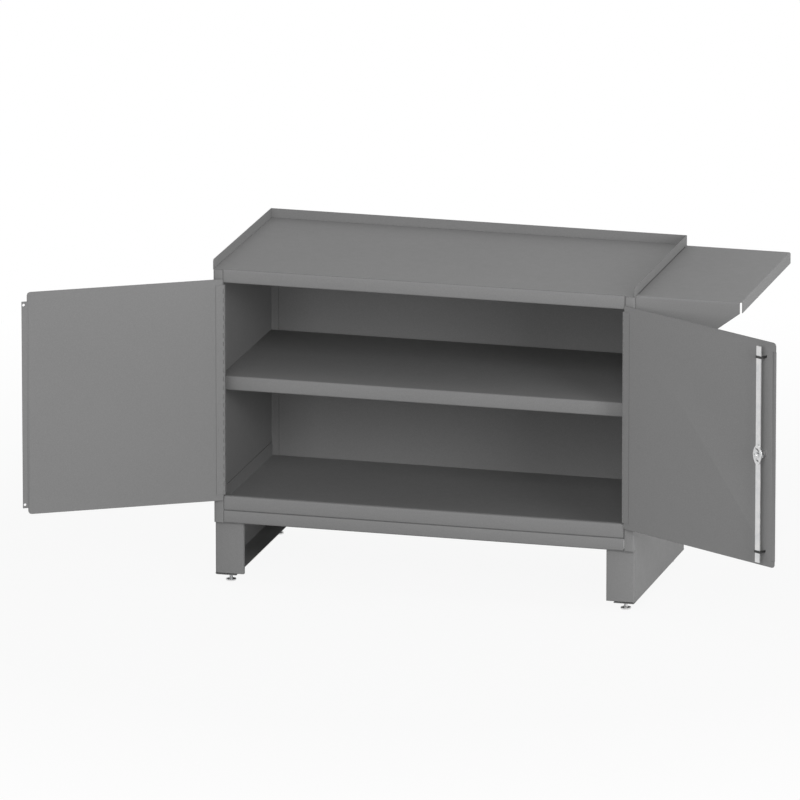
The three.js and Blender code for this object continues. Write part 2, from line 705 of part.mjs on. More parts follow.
function footNut() {
  const shape = new THREE.Shape(ring(FOOT_NUT_RADIUS, 6));
  shape.holes.push(bore(STEM_RADIUS + STEM_CLEARANCE, 12, 0, 0));
  return prismZ(shape, SHEET + SEAT, SHEET + SEAT + FOOT_NUT_HEIGHT);
}

// Assembly
const bench = new THREE.Group();

function add(group, name, geometry, material) {
  const mesh = new THREE.Mesh(geometry, material);
  mesh.name = name;
  group.add(mesh);
  return mesh;
}

add(bench, 'worktop', worktop(), paint());
add(bench, 'back_panel', backPanel(), paint());
add(bench, 'middle_shelf', middleShelf(), paint());
add(bench, 'bottom_shelf', bottomShelf(), paint());
add(bench, 'base_rail', baseRail(), paint());
add(bench, 'side_shelf', sideShelf(), paint());

const leftHinge = new THREE.Vector3(hingeX, hingeY, 0);
const rightHinge = new THREE.Vector3(WIDTH - hingeX, hingeY, 0);
const sides = [
  { side: 'left', place: (geometry) => geometry, footX: FOOT_SIDE_INSET },
  { side: 'right', place: mirrored, footX: WIDTH - FOOT_SIDE_INSET },
];

for (const { side, place, footX } of sides) {
  add(bench, `side_panel_${side}`, place(sidePanel()), paint());
  add(bench, `leg_plate_front_${side}`, place(legPlate(true)), paint());
  add(bench, `leg_plate_rear_${side}`, place(legPlate(false)), paint());
  add(bench, `cabinet_leaf_${side}`, place(hingeLeaf([0, 1], [-1, 0], 0)), paint());
  add(bench, `hinge_pin_${side}`, place(hingePin()), zinc());
  for (const [end, footY] of [['front', FOOT_END_INSET], ['rear', DEPTH - FOOT_END_INSET]]) {
    add(bench, `foot_${end}_${side}`, levellingFoot(), zinc()).position.set(footX, footY, 0);
    add(bench, `foot_nut_${end}_${side}`, footNut(), zinc()).position.set(footX, footY, 0);
  }
}

// Each door hangs in a group that turns about its hinge pin
function door(hinge, angle) {
  const leaf = new THREE.Group();
  leaf.position.copy(hinge);
  leaf.rotation.z = angle;
  bench.add(leaf);
  const closed = new THREE.Group();
  closed.position.copy(hinge).negate();
  leaf.add(closed);
  return closed;
}

const leftLeaf = door(leftHinge, -DOOR_OPEN);
add(leftLeaf, 'door_left', leftDoor(), paint());
add(leftLeaf, 'door_leaf_left', hingeLeaf([1, 0], [0, 1], 1), paint());

const rightLeaf = door(rightHinge, DOOR_OPEN);
add(rightLeaf, 'door_right', rightDoor(), paint());
add(rightLeaf, 'door_leaf_right', mirrored(hingeLeaf([1, 0], [0, 1], 1)), paint());

const lock = new THREE.Group();
lock.position.set(lockX, 0, lockZ);
rightLeaf.add(lock);
add(lock, 'lock_handle', lockHandle(), chrome());
add(lock, 'lock_cam', lockCam(), zinc());
add(lock, 'lock_cam_nut', camNut(), zinc());
add(lock, 'lock_boss', lockBoss(), zinc());
add(lock, 'lock_rod_upper', upperRod(), zinc());
add(lock, 'lock_rod_lower', upperRod(), zinc()).rotation.y = Math.PI;
add(lock, 'rod_guide_upper', rodGuide(), blackStrap()).position.z = doorTop - GUIDE_INSET - lockZ;
add(lock, 'rod_guide_lower', rodGuide(), blackStrap()).position.z = doorBottom + GUIDE_INSET - lockZ;

// Origin on the floor, under the middle of the outline
bench.updateMatrixWorld(true);
const outline = new THREE.Box3().setFromObject(bench, true);
const middle = outline.getCenter(new THREE.Vector3());
bench.position.set(-middle.x, -middle.y, -outline.min.z);
bench.updateMatrixWorld(true);

export default bench;
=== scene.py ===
"""Grey sheet-steel workbench with a cabinet: the finished surfaces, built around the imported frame."""

import json
import logging
import math
from dataclasses import dataclass, field
from enum import Enum

import bmesh
import bpy
import numpy as np
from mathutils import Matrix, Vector


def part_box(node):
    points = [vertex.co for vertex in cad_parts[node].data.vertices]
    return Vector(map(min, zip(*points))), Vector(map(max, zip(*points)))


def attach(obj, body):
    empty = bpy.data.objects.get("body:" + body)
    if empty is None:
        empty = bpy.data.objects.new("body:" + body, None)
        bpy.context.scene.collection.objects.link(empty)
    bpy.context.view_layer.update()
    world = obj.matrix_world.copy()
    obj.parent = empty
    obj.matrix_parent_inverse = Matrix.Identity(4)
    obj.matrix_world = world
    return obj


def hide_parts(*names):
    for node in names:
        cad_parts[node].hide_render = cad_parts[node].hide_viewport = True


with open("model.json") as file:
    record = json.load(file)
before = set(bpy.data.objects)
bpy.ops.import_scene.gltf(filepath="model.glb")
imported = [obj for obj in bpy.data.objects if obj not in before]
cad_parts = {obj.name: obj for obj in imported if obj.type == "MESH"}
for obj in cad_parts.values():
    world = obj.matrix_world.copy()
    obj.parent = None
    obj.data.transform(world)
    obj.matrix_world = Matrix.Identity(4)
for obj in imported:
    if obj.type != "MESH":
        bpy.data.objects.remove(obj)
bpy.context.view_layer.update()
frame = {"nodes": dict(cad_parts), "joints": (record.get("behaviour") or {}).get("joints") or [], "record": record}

LOG = logging.getLogger("workbench")
MM = 0.001
NOISE_SPAN = (0.3, 0.7)  # the part of a noise texture's range that most of its values lie in
MERGE_DISTANCE = 0.02 * MM
SLIVER = 0.005 * MM
FLAT_ANGLE = 0.4
EASE_SEGMENTS = 2
NUT_SIDES = 48
NUT_LAND = 0.97
NUT_CHAMFER = 30.0
THREAD_STEPS = 6.0
UP = np.array([0.0, 0.0, 1.0])


class Slot(Enum):
    """Material slots of the record; each finish belongs to one."""

    PAINT = "grey_paint"
    ZINC = "zinc_plate"
    CHROME = "chrome"
    BLACK = "black_paint"


class NodeGraph:
    """A small helper that adds and links the nodes of one material or world."""

    COLUMN_WIDTH = 190.0

    def __init__(self, tree: bpy.types.NodeTree) -> None:
        """Starts with an empty tree."""
        tree.nodes.clear()
        self.tree = tree
        self.column = 0

    def add(self, kind: str, **inputs: object) -> bpy.types.Node:
        """Adds a node.

        Args:
            kind: Blender's name of the node type.
            inputs: values or output sockets by input name, with spaces as underscores.

        Returns:
            The new node.
        """
        node = self.tree.nodes.new(kind)
        node.location = (self.column * self.COLUMN_WIDTH, 0.0)
        self.column += 1
        for name, value in inputs.items():
            self.feed(node.inputs[name.replace("_", " ")], value)
        return node

    def feed(self, socket: bpy.types.NodeSocket, value: object) -> None:
        """Sets an input socket to a value, or links it to an output socket."""
        if isinstance(value, bpy.types.NodeSocket):
            self.tree.links.new(value, socket)
        else:
            socket.default_value = value

    def math(self, operation: str, first: object, second: object = 0.0) -> bpy.types.NodeSocket:
        """Adds a Math node and returns its output."""
        node = self.add("ShaderNodeMath")
        node.operation = operation
        self.feed(node.inputs[0], first)
        self.feed(node.inputs[1], second)
        return node.outputs[0]

    def between(
        self, value: object, low: float, high: float, to_low: float, to_high: float
    ) -> bpy.types.NodeSocket:
        """Adds a clamped Map Range node and returns its output."""
        node = self.add(
            "ShaderNodeMapRange", Value=value, From_Min=low, From_Max=high, To_Min=to_low, To_Max=to_high
        )
        return node.outputs["Result"]

    def tint(self, share: object, first: object, second: object) -> bpy.types.NodeSocket:
        """Adds a mix of two colours by a share and returns its output."""
        node = self.add("ShaderNodeMix")
        node.data_type = "RGBA"
        self.feed(node.inputs[0], share)
        self.feed(node.inputs[6], first)
        self.feed(node.inputs[7], second)
        return node.outputs[2]

    def noise(self, place: object, scale: float, detail: float = 2.0) -> bpy.types.NodeSocket:
        """Adds a noise texture on the given coordinates and returns its factor."""
        return self.add("ShaderNodeTexNoise", Vector=place, Scale=scale, Detail=detail).outputs["Fac"]

    def place(self, stretch: tuple[float, float, float] = (1.0, 1.0, 1.0)) -> bpy.types.NodeSocket:
        """Adds object coordinates, stretched along each axis, and returns them."""
        where = self.add("ShaderNodeTexCoord").outputs["Object"]
        if stretch == (1.0, 1.0, 1.0):
            return where
        return self.add("ShaderNodeMapping", Vector=where, Scale=stretch).outputs["Vector"]


def grey(value: float, warm: float = 0.0) -> tuple[float, float, float, float]:
    """Returns a near-neutral linear colour, a little warmer or cooler by warm."""
    return (value * (1.0 + warm), value, value * (1.0 - warm), 1.0)


@dataclass(frozen=True)
class Finish:
    """A finish of the bench: how it is named, and the slot of the record that it belongs to."""

    name: str
    slot: Slot

    def shade(self, graph: NodeGraph, shader: bpy.types.Node) -> None:
        """Connects the finish's nodes to the shader; each kind of finish has its own."""
        raise NotImplementedError

    def material(self) -> bpy.types.Material:
        """Returns the finish's material, made once."""
        made = bpy.data.materials.get(self.name)
        if made is None:
            made = bpy.data.materials.new(self.name)
            made.use_nodes = True
            graph = NodeGraph(made.node_tree)
            shader = graph.add("ShaderNodeBsdfPrincipled")
            output = graph.add("ShaderNodeOutputMaterial")
            self.shade(graph, shader)
            made.node_tree.links.new(shader.outputs["BSDF"], output.inputs["Surface"])
        return made


@dataclass(frozen=True)
class PowderCoat(Finish):
    """Satin powder coat: fine orange peel, slow drifts of tone, pale flecks, and painted shade that darkens its
    edges.
    """

    tone: float = 0.2
    drift: float = 0.02
    drift_scale: float = 2.6
    fleck_scale: float = 380.0
    fleck_span: tuple[float, float] = (0.35, 0.75)
    fleck_share: float = 0.3
    fleck_lift: float = 1.35
    peel_scale: float = 620.0
    peel_height: float = 0.12 * MM
    peel_strength: float = 0.6
    # The edge fields below set the painted shade: a dark tint laid along edges and at gaps between parts.
    edge_width: float = 1.5 * MM
    edge_samples: int = 4
    edge_turn: tuple[float, float] = (0.98, 0.8)
    edge_shade_tone: float = 0.06
    edge_shade_share: float = 0.85
    gloss: float = 0.12
    roughness: tuple[float, float] = (0.6, 0.66)
    roughness_scale: float = 45.0

    def shade(self, graph: NodeGraph, shader: bpy.types.Node) -> None:
        """Mixes the tone by slow noise, darkens the edges and the gaps between parts with painted shade, and bumps
        the surface with orange peel.
        """
        shader.inputs["Specular IOR Level"].default_value = self.gloss
        place = graph.place()
        slow = graph.noise(place, self.drift_scale, detail=3.0)
        speck = graph.noise(place, self.fleck_scale, detail=1.0)
        base = graph.tint(
            graph.between(slow, *NOISE_SPAN, 0.0, 1.0),
            grey(self.tone * (1.0 - self.drift)),
            grey(self.tone * (1.0 + self.drift)),
        )
        fleck = graph.between(speck, *self.fleck_span, 0.0, self.fleck_share)
        flecked = graph.tint(fleck, base, grey(self.tone * self.fleck_lift))
        # Painted shade: a bevel mask finds the edges, and the colour there is mixed towards a dark grey.
        rounded = graph.add("ShaderNodeBevel", Radius=self.edge_width)
        rounded.samples = self.edge_samples
        true_normal = graph.add("ShaderNodeNewGeometry").outputs["True Normal"]
        turn = graph.add("ShaderNodeVectorMath")
        turn.operation = "DOT_PRODUCT"
        graph.feed(turn.inputs[0], rounded.outputs["Normal"])
        graph.feed(turn.inputs[1], true_normal)
        edge_shade = graph.between(turn.outputs["Value"], *self.edge_turn, 0.0, self.edge_shade_share)
        graph.feed(shader.inputs["Base Color"], graph.tint(edge_shade, flecked, grey(self.edge_shade_tone)))
        rough = graph.noise(place, self.roughness_scale)
        graph.feed(shader.inputs["Roughness"], graph.between(rough, *NOISE_SPAN, *self.roughness))
        bump = graph.add("ShaderNodeBump", Distance=self.peel_height, Strength=self.peel_strength)
        graph.feed(bump.inputs["Height"], graph.noise(place, self.peel_scale))
        graph.feed(shader.inputs["Normal"], bump.outputs["Normal"])


@dataclass(frozen=True)
class PlatedSteel(Finish):
    """Bright plated steel, with fine drawing marks along one axis and dull patches."""

    tone: float = 0.66
    cloud: float = 0.06
    cloud_scale: float = 60.0
    cloud_warmth: tuple[float, float] = (-0.012, 0.004)
    marks: tuple[float, float, float] = (900.0, 900.0, 12.0)
    mark_height: float = 0.03 * MM
    mark_strength: float = 0.5
    roughness: tuple[float, float] = (0.26, 0.42)

    def shade(self, graph: NodeGraph, shader: bpy.types.Node) -> None:
        """Stretches noise into drawing marks for roughness and bump, over cloudy tone."""
        shader.inputs["Metallic"].default_value = 1.0
        along = graph.noise(graph.place(self.marks), 1.0, detail=3.0)
        cloud = graph.noise(graph.place(), self.cloud_scale)
        graph.feed(
            shader.inputs["Base Color"],
            graph.tint(
                graph.between(cloud, *NOISE_SPAN, 0.0, 1.0),
                grey(self.tone * (1.0 - self.cloud), self.cloud_warmth[0]),
                grey(self.tone * (1.0 + self.cloud), self.cloud_warmth[1]),
            ),
        )
        graph.feed(shader.inputs["Roughness"], graph.between(along, *NOISE_SPAN, *self.roughness))
        bump = graph.add("ShaderNodeBump", Distance=self.mark_height, Strength=self.mark_strength)
        graph.feed(bump.inputs["Height"], along)
        graph.feed(shader.inputs["Normal"], bump.outputs["Normal"])


@dataclass(frozen=True)
class BlackPaint(Finish):
    """Satin black paint on the lock's straps, with faint rub marks."""

    tone: float = 0.012
    rub_scale: float = 260.0
    rub_span: tuple[float, float] = (0.45, 0.75)
    rub_lift: float = 3.0
    roughness: tuple[float, float] = (0.32, 0.5)

    def shade(self, graph: NodeGraph, shader: bpy.types.Node) -> None:
        """Rubs the black a little lighter in patches."""
        rub = graph.noise(graph.place(), self.rub_scale, detail=3.0)
        rubbed = graph.between(rub, *self.rub_span, 0.0, 1.0)
        tint = graph.tint(rubbed, grey(self.tone), grey(self.tone * self.rub_lift))
        graph.feed(shader.inputs["Base Color"], tint)
        graph.feed(shader.inputs["Roughness"], graph.between(rub, *NOISE_SPAN, *self.roughness))


PAINT = PowderCoat("grey_powder_coat", Slot.PAINT)
ZINC = PlatedSteel("bright_zinc", Slot.ZINC)
CHROME = PlatedSteel(
    "polished_chrome",
    Slot.CHROME,
    tone=0.78,
    marks=(60.0, 60.0, 60.0),
    mark_height=0.01 * MM,
    roughness=(0.06, 0.14),
)
BLACK = BlackPaint("satin_black", Slot.BLACK)
# The hinge leaves take less of the painted edge shade.
HINGE_PAINT = PowderCoat("grey_hinge_coat", Slot.PAINT, edge_shade_share=0.35)


@dataclass
class Surface:
    """Points and faces of one or more closed surfaces, as whole arrays."""

    points: np.ndarray
    faces: list[list[int]]

    def moved(self, turn: np.ndarray, shift: np.ndarray) -> "Surface":
        """Returns the surface turned by a 3 by 3 matrix and then shifted."""
        return Surface(self.points @ np.asarray(turn).T + np.asarray(shift), self.faces)

    @staticmethod
    def joined(parts: list["Surface"]) -> "Surface":
        """Returns several surfaces as one."""
        offsets = np.cumsum([0] + [len(part.points) for part in parts])
        faces = [
            [int(i + start) for i in face] for part, start in zip(parts, offsets) for face in part.faces
        ]
        return Surface(np.concatenate([part.points for part in parts]), faces)


def tube_of_rings(rings: np.ndarray, loop: bool = False) -> Surface:
    """Closes rings of points into a surface.

    Args:
        rings: array of ring, point on the ring, and coordinate; each ring runs anticlockwise about the
            direction from the first ring to the last.
        loop: whether the last ring joins the first one; otherwise both ends get a flat cap.

    Returns:
        The closed surface, with quadrilaterals between neighbouring rings.
    """
    count, sides = rings.shape[:2]
    last = count if loop else count - 1
    ring, side = np.meshgrid(np.arange(last), np.arange(sides), indexing="ij")
    here, ahead = ring * sides, ((ring + 1) % count) * sides
    beside = (side + 1) % sides
    quads = np.stack([here + side, here + beside, ahead + beside, ahead + side], axis=-1).reshape(-1, 4)
    faces = quads.tolist()
    if not loop:
        faces.append(list(range(sides - 1, -1, -1)))
        faces.append(list(range((count - 1) * sides, count * sides)))
    return Surface(rings.reshape(-1, 3), faces)


def turned(radius: np.ndarray, height: np.ndarray, sides: int) -> np.ndarray:
    """Rings of a body of revolution about Z: x = r cos a, y = r sin a, z = h.

    Args:
        radius: radius of each ring, or of each ring at each angle.
        height: height of each ring, or of each ring at each angle.
        sides: number of points on a ring.

    Returns:
        The rings, from the first height to the last.
    """
    angle = np.linspace(0.0, 2.0 * np.pi, sides, endpoint=False)
    radius = np.broadcast_to(np.reshape(radius, (len(radius), -1)), (len(radius), sides))
    height = np.broadcast_to(np.reshape(height, (len(height), -1)), (len(height), sides))
    return np.stack([radius * np.cos(angle), radius * np.sin(angle), height], axis=-1)


def saw(phase: np.ndarray) -> np.ndarray:
    """A triangle wave from 0 to 1 with period 1: the section of a screw thread."""
    return 1.0 - np.abs(2.0 * (phase - np.floor(phase)) - 1.0)


def screw(
    radius: np.ndarray, height: np.ndarray, threaded: np.ndarray, pitch: float, depth: float, sides: int
) -> Surface:
    """A turned body with a screw thread on some of its rings.

    A threaded ring's radius falls by the thread's depth times a triangle wave of the height over the
    pitch less the angle over a turn.

    Args:
        radius: radius of each ring.
        height: height of each ring.
        threaded: whether each ring carries the thread.
        pitch: the thread's pitch.
        depth: the thread's depth.
        sides: number of points on a ring.

    Returns:
        The body as one closed surface.
    """
    angle = np.linspace(0.0, 1.0, sides, endpoint=False)
    cut = depth * saw(height[:, None] / pitch - angle[None, :])
    return tube_of_rings(turned(radius[:, None] - np.where(threaded[:, None], cut, 0.0), height, sides))


def hex_nut(across: float, low: float, high: float, bore: float) -> Surface:
    """A hexagon nut about Z whose corners are cut by a cone of 30 degrees at both ends.

    The hexagon's radius at angle a is half the width across flats over the cosine of the angle to the
    nearest flat. The cone takes off height: the tangent of 30 degrees times the distance that this
    radius stands out of a circle just inside the flats.

    Args:
        across: width across flats.
        low: height of the lower face.
        high: height of the upper face.
        bore: radius of the hole.

    Returns:
        The nut as one closed surface.
    """
    sides = NUT_SIDES
    angle = np.linspace(0.0, 2.0 * np.pi, sides, endpoint=False)
    flat = across / 2.0
    hexagon = flat / np.cos((angle + np.pi / 6.0) % (np.pi / 3.0) - np.pi / 6.0)
    circle = np.full(sides, flat * NUT_LAND)
    drop = (hexagon - circle) * math.tan(math.radians(NUT_CHAMFER))
    hole = np.full(sides, bore)
    level = np.ones(sides)
    radius = np.stack([hole, circle, hexagon, hexagon, circle, hole])
    height = np.stack([low * level, low * level, low + drop, high - drop, high * level, high * level])
    return tube_of_rings(turned(radius, height, sides), loop=True)


def finish_mesh(mesh: bpy.types.Mesh, finish: Finish, sharp: float) -> None:
    """Gives a mesh its material and smooth shading, with edges sharper than the angle kept."""
    mesh.materials.clear()
    mesh.materials.append(finish.material())
    mesh.shade_smooth()
    mesh.set_sharp_from_angle(angle=math.radians(sharp))


def show(
    name: str, mesh: bpy.types.Mesh, body: str, nodes: tuple[str, ...]
) -> bpy.types.Object:
    """Puts a finished mesh into the scene as a piece of the bench.

    Args:
        name: the piece's name.
        mesh: its mesh, in place.
        body: the body of the frame that it moves with.
        nodes: the nodes of the frame that it stands for.

    Returns:
        The piece.
    """
    piece = bpy.data.objects.new(name, mesh)
    bpy.context.scene.collection.objects.link(piece)
    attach(piece, body)
    if nodes:
        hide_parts(*nodes)
    LOG.info("%s on %s: %d faces", name, body, len(mesh.polygons))
    return piece


def show_surface(
    name: str, surface: Surface, finish: Finish, body: str, nodes: tuple[str, ...] = (), sharp: float = 32.0
) -> bpy.types.Object:
    """Makes a mesh of a surface in metres, recalculates its outside and shows it; see show()."""
    mesh = bpy.data.meshes.new(name)
    mesh.from_pydata(surface.points.tolist(), [], surface.faces)
    outward = bmesh.new()
    outward.from_mesh(mesh)
    bmesh.ops.recalc_face_normals(outward, faces=outward.faces)
    outward.to_mesh(mesh)
    outward.free()
    finish_mesh(mesh, finish, sharp)
    return show(name, mesh, body, nodes)


def body_of(node: str) -> str:
    """Returns the name of the body that a node of the frame moves with."""
    bodies: dict[str, list[str]] = frame["record"]["behaviour"]["bodies"]
    return next(body for body, nodes in bodies.items() if node in nodes)


def points_of(mesh: bpy.types.Mesh) -> np.ndarray:
    """Returns a mesh's points, one row each, in metres."""
    points = np.empty(len(mesh.vertices) * 3, np.float32)
    mesh.vertices.foreach_get("co", points)
    return points.reshape(-1, 3)


def show_eased(
    node: str, name: str, finish: Finish, ease: float, sharp: float = 40.0, reach: float = 0.0
) -> bpy.types.Object:
    """Shows a node's own shape with its loose triangles merged, its flats made whole and its edges eased.

    Args:
        node: the node of the frame.
        name: the name of the new piece that stands for it.
        finish: its finish.
        ease: how far its sharp edges are rounded, in metres.
        sharp: edges that turn by more than this, in degrees, are eased.
        reach: how far its ends along X are drawn out, in metres, to close the seams there.

    Returns:
        The piece, with a live bevel.
    """
    merged = bmesh.new()
    merged.from_mesh(frame["nodes"][node].data)
    bmesh.ops.remove_doubles(merged, verts=merged.verts, dist=MERGE_DISTANCE)
    bmesh.ops.dissolve_degenerate(merged, edges=merged.edges, dist=SLIVER)
    flat = math.radians(FLAT_ANGLE)
    bmesh.ops.dissolve_limit(merged, angle_limit=flat, verts=merged.verts, edges=merged.edges)
    mesh = bpy.data.meshes.new(name)
    merged.to_mesh(mesh)
    merged.free()
    if reach:
        points = points_of(mesh)
        x = points[:, 0].copy()
        far, near = x >= x.max() - reach, x <= x.min() + reach
        points[:, 0] += reach * (far.astype(np.float32) - near.astype(np.float32))
        mesh.vertices.foreach_set("co", points.ravel())
        mesh.update()
    finish_mesh(mesh, finish, sharp)
    piece = show(name, mesh, body_of(node), (node,))
    eased = piece.modifiers.new("eased_edges", "BEVEL")
    eased.limit_method = "ANGLE"
    eased.angle_limit = math.radians(sharp)
    eased.width = ease
    eased.segments = EASE_SEGMENTS
    eased.harden_normals = True
    return piece


@dataclass
class LockFrame:
    """The lock's own axes at rest: x along the door, y from outside to inside along the spindle, z up."""

    centre: np.ndarray = field(init=False)
    turn: np.ndarray = field(init=False)

    def __post_init__(self) -> None:
        """Reads the spindle's place and direction from the frame's joint."""
        joint = next(joint for joint in frame["joints"] if joint["name"] == "lock_handle_turn")
        inward = np.array(joint["axis"]) / np.linalg.norm(joint["axis"])
        self.centre = np.array(joint["pos_m"])
        self.turn = np.stack([np.cross(inward, UP), inward, UP], axis=1)

    def place(self, surface: Surface) -> Surface:
        """Returns a surface that was made in the lock's axes, in place on the open door."""
        return surface.moved(self.turn, self.centre)

    def spun(self, surface: Surface) -> Surface:
        """Returns a surface made about Z with its axis laid along the spindle, in place."""
        lay = np.array([[1.0, 0.0, 0.0], [0.0, 0.0, 1.0], [0.0, -1.0, 0.0]])
        return self.place(surface.moved(lay, np.zeros(3)))

    def extent(self, node: str) -> tuple[np.ndarray, np.ndarray]:
        """Returns a node's lowest and highest corners in the lock's axes."""
        local = (points_of(frame["nodes"][node].data) - self.centre) @ self.turn
        return local.min(axis=0), local.max(axis=0)


@dataclass
class Carcass:
    """The welded sheet-metal body: every piece keeps the frame's shape and gets eased, painted edges."""

    ease: float = 0.3 * MM
    seam_ease: float = 0.1 * MM
    seam_reach: float = 0.2 * MM
    butted: tuple[str, ...] = ("base_rail",)
    sheets: tuple[str, ...] = (
        "worktop",
        "back_panel",
        "side_panel_left",
        "side_panel_right",
        "middle_shelf",
        "bottom_shelf",
        "base_rail",
        "side_shelf",
        "leg_plate_front_left",
        "leg_plate_front_right",
        "leg_plate_rear_left",
        "leg_plate_rear_right",
    )

    def build(self) -> None:
        """Shows each sheet."""
        for node in self.sheets:
            if node in self.butted:
                show_eased(node, f"{node}_sheet", PAINT, self.seam_ease, reach=self.seam_reach)
            else:
                show_eased(node, f"{node}_sheet", PAINT, self.ease)


@dataclass
class Doors:
    """Both doors with their continuous hinges: door sheets, leaves with knuckles, pins and rivets."""

    ease: float = 0.3 * MM
    leaf_ease: float = 0.12 * MM
    leaf_sharp: float = 42.0
    pin_sharp: float = 50.0
    leaf_end_zone: float = 3.0 * MM
    rivet_radius: float = 2.7 * MM
    rivet_height: float = 0.8 * MM
    rivet_pitch: float = 76.2 * MM
    rivet_end: float = 38.1 * MM
    rivet_setback: float = 8.0 * MM
    rivet_sides: int = 20
    rivet_rings: int = 7
    rivet_crown: float = 0.08

    def build(self) -> None:
        """Shows the doors and hinges of both sides."""
        for side in ("left", "right"):
            show_eased(f"door_{side}", f"door_{side}_sheet", PAINT, self.ease)
            for leaf in ("cabinet_leaf", "door_leaf"):
                node = f"{leaf}_{side}"
                show_eased(node, f"hinge_{node}", HINGE_PAINT, self.leaf_ease, self.leaf_sharp)
                self.rivet_row(node)
            show_eased(f"hinge_pin_{side}", f"hinge_pin_{side}_rod", ZINC, self.leaf_ease, self.pin_sharp)

    def rivet_head(self) -> Surface:
        """A low dome: its height falls off as the fourth power of the distance from its middle."""
        share = np.linspace(1.0, self.rivet_crown, self.rivet_rings)
        radius = self.rivet_radius * share
        height = self.rivet_height * (1.0 - share**4)
        return tube_of_rings(turned(radius, height, self.rivet_sides))

    def rivet_row(self, leaf: str) -> None:
        """Sets rivet heads on a leaf's free face.

        Args:
            leaf: the node of the leaf; its flat face and free edge are read from its points.
        """
        points = points_of(frame["nodes"][leaf].data)
        side = "left" if leaf.endswith("left") else "right"
        hinge = next(j for j in frame["joints"] if j["name"] == f"{side}_door_hinge")
        pivot = np.array(hinge["pos_m"])[:2]
        flat = points[:, :2] - pivot
        far = flat[np.argmax(np.linalg.norm(flat, axis=1))]
        free = flat[np.linalg.norm(flat - far, axis=1) < self.leaf_end_zone]
        corners = np.unique(np.round(free, 6), axis=0)
        middle = corners.mean(axis=0)
        outward = middle / np.linalg.norm(middle)
        normal = np.array([-outward[1], outward[0]])
        spread = corners @ normal
        towards = self.open_side(leaf, normal)
        face = spread.max() if towards > 0 else spread.min()
        along = corners @ outward
        spot = pivot + outward * (along.max() - self.rivet_setback) + normal * face
        low, high = points[:, 2].min() + self.rivet_end, points[:, 2].max() - self.rivet_end
        count = int(round((high - low) / self.rivet_pitch)) + 1
        facing = normal * towards
        out = np.array([*facing, 0.0])
        turn = np.stack([UP, np.cross(out, UP), out], axis=1)
        head = self.rivet_head()
        rows = [head.moved(turn, np.array([spot[0], spot[1], z])) for z in np.linspace(low, high, count)]
        show_surface(f"rivets_{leaf}", Surface.joined(rows), PAINT, body_of(leaf))

    @staticmethod
    def open_side(leaf: str, normal: np.ndarray) -> float:
        """Returns 1 or -1: the sense of the normal that points from the backed face to the free one.

        A cabinet leaf is welded to a jamb and faces the doorway; a door leaf on an open door faces forward.
        """
        inward = 1.0 if leaf.endswith("left") else -1.0
        free = np.array([inward, 0.0]) if leaf.startswith("cabinet_leaf") else np.array([0.0, -1.0])
        return float(np.sign(free @ normal))


